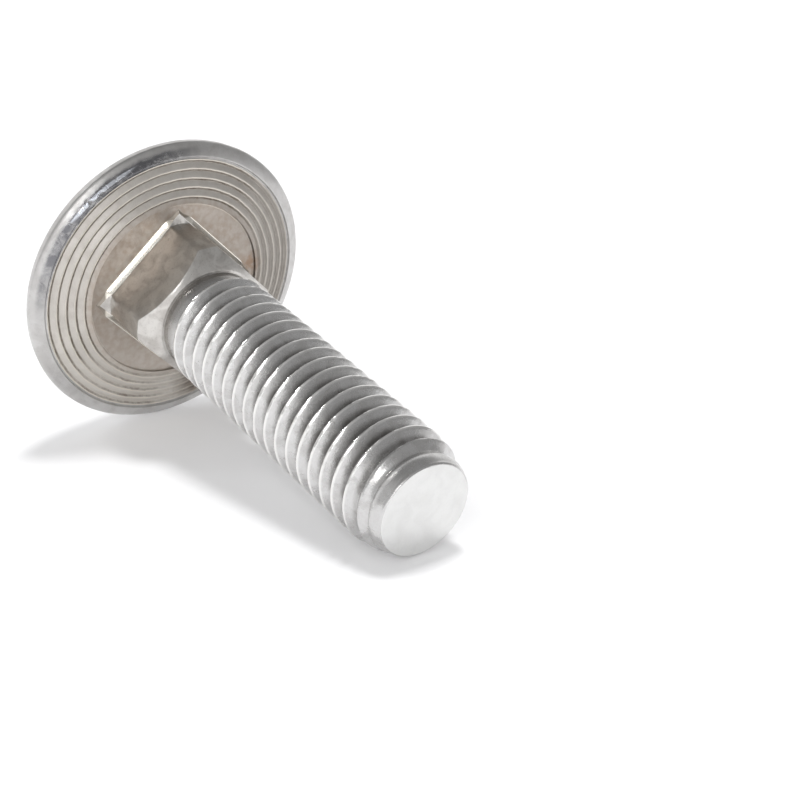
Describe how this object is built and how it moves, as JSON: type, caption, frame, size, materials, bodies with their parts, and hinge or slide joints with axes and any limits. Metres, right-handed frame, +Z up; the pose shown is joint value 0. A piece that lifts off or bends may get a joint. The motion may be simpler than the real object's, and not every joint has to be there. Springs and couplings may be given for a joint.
{
  "type": "carriage bolt",
  "caption": "Stainless carriage bolt with a low domed head, ringed underside, square neck and full thread to a flat end, lying on its side.",
  "frame": {"origin": "middle of the bounding box in plan, on the surface the bolt lies on (z = 0)", "axes": "+X level along the bolt from the head to the tip; +Z up; +Y to the left when looking from the head to the tip. The bolt's own axis lies in the XZ plane and slopes down towards the tip, because the bolt rests on the rim of its head and on the last full crest of the thread."},
  "size_m": [0.0348, 0.0212, 0.0207],
  "materials": {
    "steel": "plain stainless steel as forged and rolled, satin, with a fine mottle on the dome"
  },
  "bodies": {
    "root": {"carriage_bolt": "steel"}
  },
  "joints": []
}
